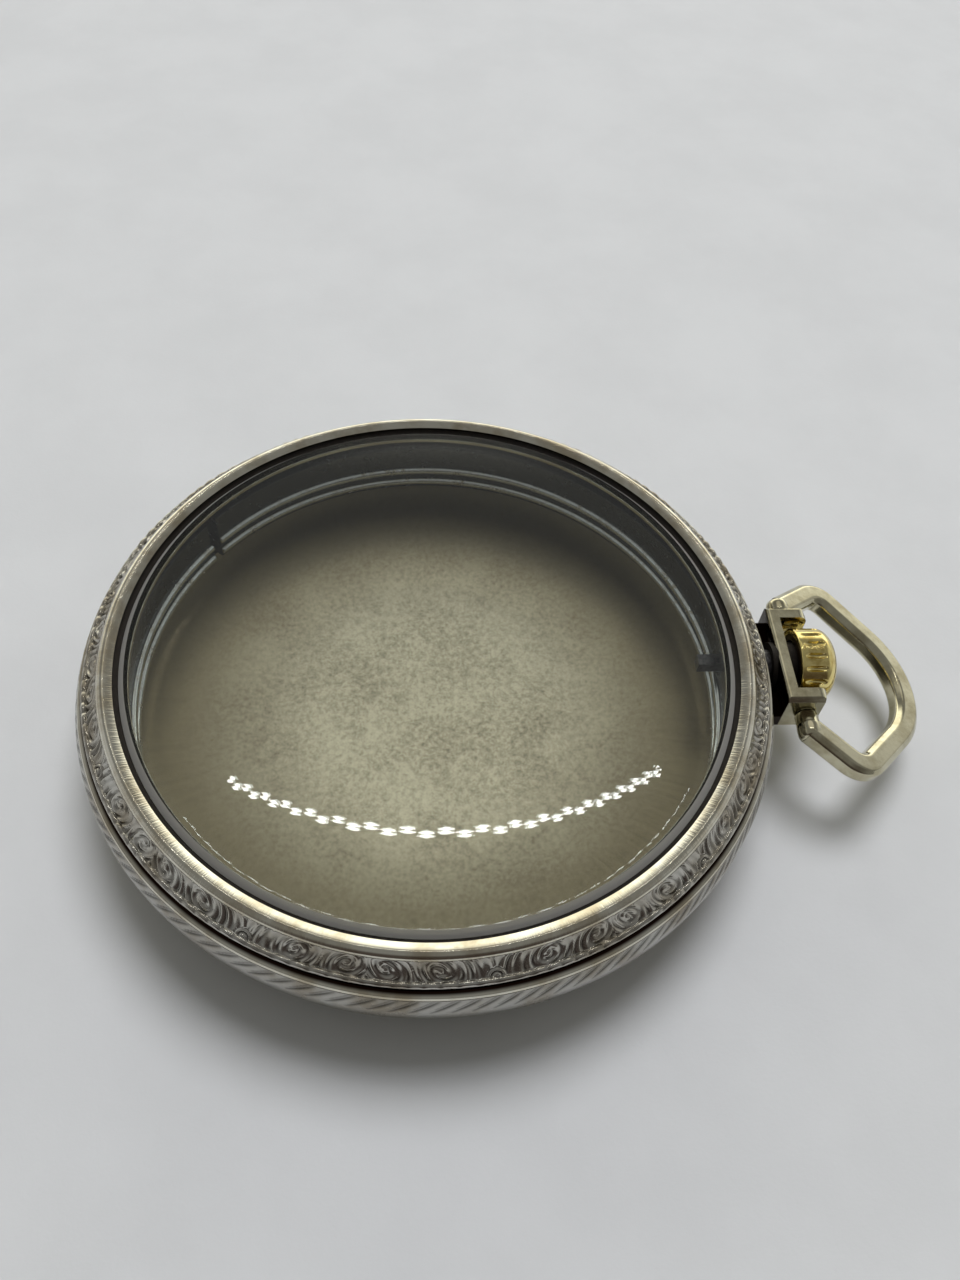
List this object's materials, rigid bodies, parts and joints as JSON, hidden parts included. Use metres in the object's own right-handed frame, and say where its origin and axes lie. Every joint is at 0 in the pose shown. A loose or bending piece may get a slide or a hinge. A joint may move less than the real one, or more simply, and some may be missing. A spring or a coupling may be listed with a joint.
{
  "type": "pocket watch case",
  "caption": "Open-face pocket watch case: snap bezel with crystal, centre band, snap back, pendant with winding crown and bow.",
  "frame": {"origin": "centre of the back's flat rest face, where the closed case lies on a table", "axes": "+Z out of the crystal along the case's axis, +X along the pendant through the crown, +Y to the left seen with the crystal up and the pendant pointing away"},
  "size_m": [0.0571, 0.0456, 0.0103],
  "materials": {
    "white_metal": "polished white base metal",
    "white_metal_worn": "brushed and tarnished inside",
    "ring_metal": "turned, bright",
    "sleeve_steel": "blued-grey spring steel",
    "crystal": "clear, polished",
    "cement": "old dark cement",
    "washer": "dull",
    "core_brass": "turned",
    "gold": "polished yellow gold",
    "stem_steel": "hardened steel"
  },
  "bodies": {
    "case": {"centre_band": "white_metal", "movement_ring": "ring_metal", "pendant_cradle": "white_metal", "neck_tube": "white_metal", "stem_sleeve": "sleeve_steel"},
    "front": {"bezel": "white_metal", "crystal": "crystal", "crystal_cement": "cement"},
    "back": {"back_cover": "white_metal_worn"},
    "slider": {"crown_washer": "washer"},
    "winder": {"crown_core": "core_brass", "crown_shell": "gold", "winding_stem": "stem_steel"},
    "bow": {"bow": "white_metal"}
  },
  "joints": [
    {"name": "bezel_lift", "type": "slide", "parent": "case", "child": "front", "axis": [0, 0, 1], "range_m": [0, 0.02]},
    {"name": "back_drop", "type": "slide", "parent": "case", "child": "back", "axis": [0, 0, -1], "range_m": [0, 0.02]},
    {"name": "crown_pull", "type": "slide", "parent": "case", "child": "slider", "axis": [1, 0, 0], "range_m": [0, 0.001]},
    {"name": "crown_turn", "type": "hinge", "parent": "slider", "child": "winder", "pos_m": [0.025, 0, 0.0063], "axis": [1, 0, 0], "continuous": true},
    {"name": "bow_swing", "type": "hinge", "parent": "case", "child": "bow", "pos_m": [0.0247, 0, 0.0063], "axis": [0, -1, 0], "range_deg": [-98, 150]}
  ]
}
